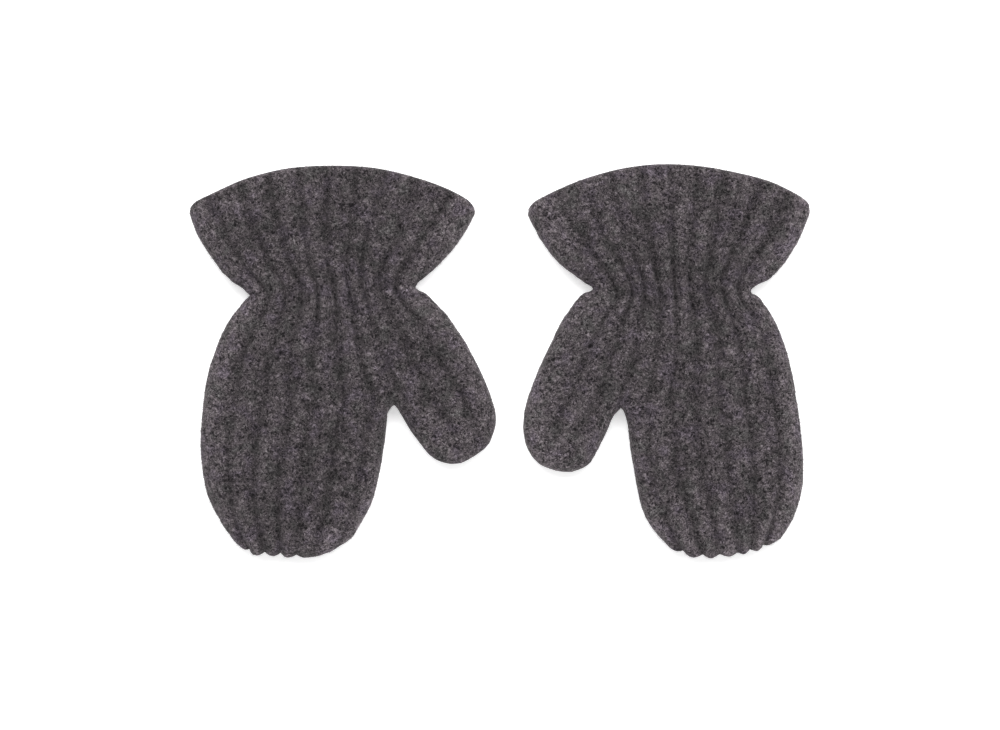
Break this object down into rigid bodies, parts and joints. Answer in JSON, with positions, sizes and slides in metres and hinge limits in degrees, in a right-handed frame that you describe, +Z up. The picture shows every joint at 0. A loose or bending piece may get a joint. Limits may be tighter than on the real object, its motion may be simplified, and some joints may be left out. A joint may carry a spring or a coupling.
{
  "type": "pair of mittens",
  "caption": "Pair of thick felted rib-knit wool mittens with flared cuffs and gathered wrists, hollow from cuff to fingers and thumb, lying flat side by side.",
  "frame": {"origin": "middle of the pair's outline, on the surface that the mittens lie on", "axes": "+X from the left-hand mitten to the right-hand mitten, +Y from the fingertips to the cuffs, +Z up, out of the palms"},
  "size_m": [0.224, 0.1415, 0.014],
  "materials": {
    "felted_wool": "dark grey heathered wool rib, felted, matt with a soft nap",
    "sewing_yarn": "dark grey wool sewing yarn, matt",
    "wrist_elastic": "black woven elastic, matt"
  },
  "bodies": {
    "left_hand": {"left_hand_palm": "felted_wool", "left_hand_back": "felted_wool", "left_wrist_elastic_palm": "wrist_elastic", "left_wrist_elastic_back": "wrist_elastic", "left_hand_outer_seam": "sewing_yarn", "left_hand_thumb_side_seam": "sewing_yarn"},
    "left_cuff": {"left_cuff_palm": "felted_wool", "left_cuff_back": "felted_wool", "left_cuff_hem_palm": "felted_wool", "left_cuff_hem_back": "felted_wool", "left_hem_thread_palm": "sewing_yarn", "left_hem_thread_back": "sewing_yarn", "left_cuff_outer_seam": "sewing_yarn", "left_cuff_thumb_side_seam": "sewing_yarn"},
    "left_fingers": {"left_finger_palm": "felted_wool", "left_finger_back": "felted_wool", "left_finger_seam": "sewing_yarn", "left_finger_inner_seam": "sewing_yarn"},
    "left_thumb": {"left_thumb_palm": "felted_wool", "left_thumb_back": "felted_wool", "left_thumb_outer_seam": "sewing_yarn", "left_thumb_inner_seam": "sewing_yarn"},
    "right_hand": {"right_hand_palm": "felted_wool", "right_hand_back": "felted_wool", "right_wrist_elastic_palm": "wrist_elastic", "right_wrist_elastic_back": "wrist_elastic", "right_hand_outer_seam": "sewing_yarn", "right_hand_thumb_side_seam": "sewing_yarn"},
    "right_cuff": {"right_cuff_palm": "felted_wool", "right_cuff_back": "felted_wool", "right_cuff_hem_palm": "felted_wool", "right_cuff_hem_back": "felted_wool", "right_hem_thread_palm": "sewing_yarn", "right_hem_thread_back": "sewing_yarn", "right_cuff_outer_seam": "sewing_yarn", "right_cuff_thumb_side_seam": "sewing_yarn"},
    "right_fingers": {"right_finger_palm": "felted_wool", "right_finger_back": "felted_wool", "right_finger_seam": "sewing_yarn", "right_finger_inner_seam": "sewing_yarn"},
    "right_thumb": {"right_thumb_palm": "felted_wool", "right_thumb_back": "felted_wool", "right_thumb_outer_seam": "sewing_yarn", "right_thumb_inner_seam": "sewing_yarn"}
  },
  "joints": [
    {"name": "right_mitten_lift", "type": "slide", "parent": "left_hand", "child": "right_hand", "axis": [0, 0, 1], "range_m": [0, 0.08]},
    {"name": "left_cuff_fold", "type": "hinge", "parent": "left_hand", "child": "left_cuff", "pos_m": [-0.06025, 0.025, 0.0133], "axis": [0.9987, 0.0504, 0], "range_deg": [0, 90]},
    {"name": "left_finger_curl", "type": "hinge", "parent": "left_hand", "child": "left_fingers", "pos_m": [-0.07425, -0.023, 0.014], "axis": [-1, 0, 0], "range_deg": [0, 90]},
    {"name": "left_thumb_fold", "type": "hinge", "parent": "left_hand", "child": "left_thumb", "pos_m": [-0.038, -0.016, 0.014], "axis": [-0.5047, -0.8633, 0], "range_deg": [0, 60]},
    {"name": "right_cuff_fold", "type": "hinge", "parent": "right_hand", "child": "right_cuff", "pos_m": [0.06175, 0.0255, 0.0133], "axis": [0.9998, -0.0174, 0], "range_deg": [0, 90]},
    {"name": "right_finger_curl", "type": "hinge", "parent": "right_hand", "child": "right_fingers", "pos_m": [0.077, -0.023, 0.014], "axis": [-1, 0, 0], "range_deg": [0, 90]},
    {"name": "right_thumb_fold", "type": "hinge", "parent": "right_hand", "child": "right_thumb", "pos_m": [0.0435, -0.017, 0.014], "axis": [-0.5277, 0.8494, 0], "range_deg": [0, 60]}
  ]
}
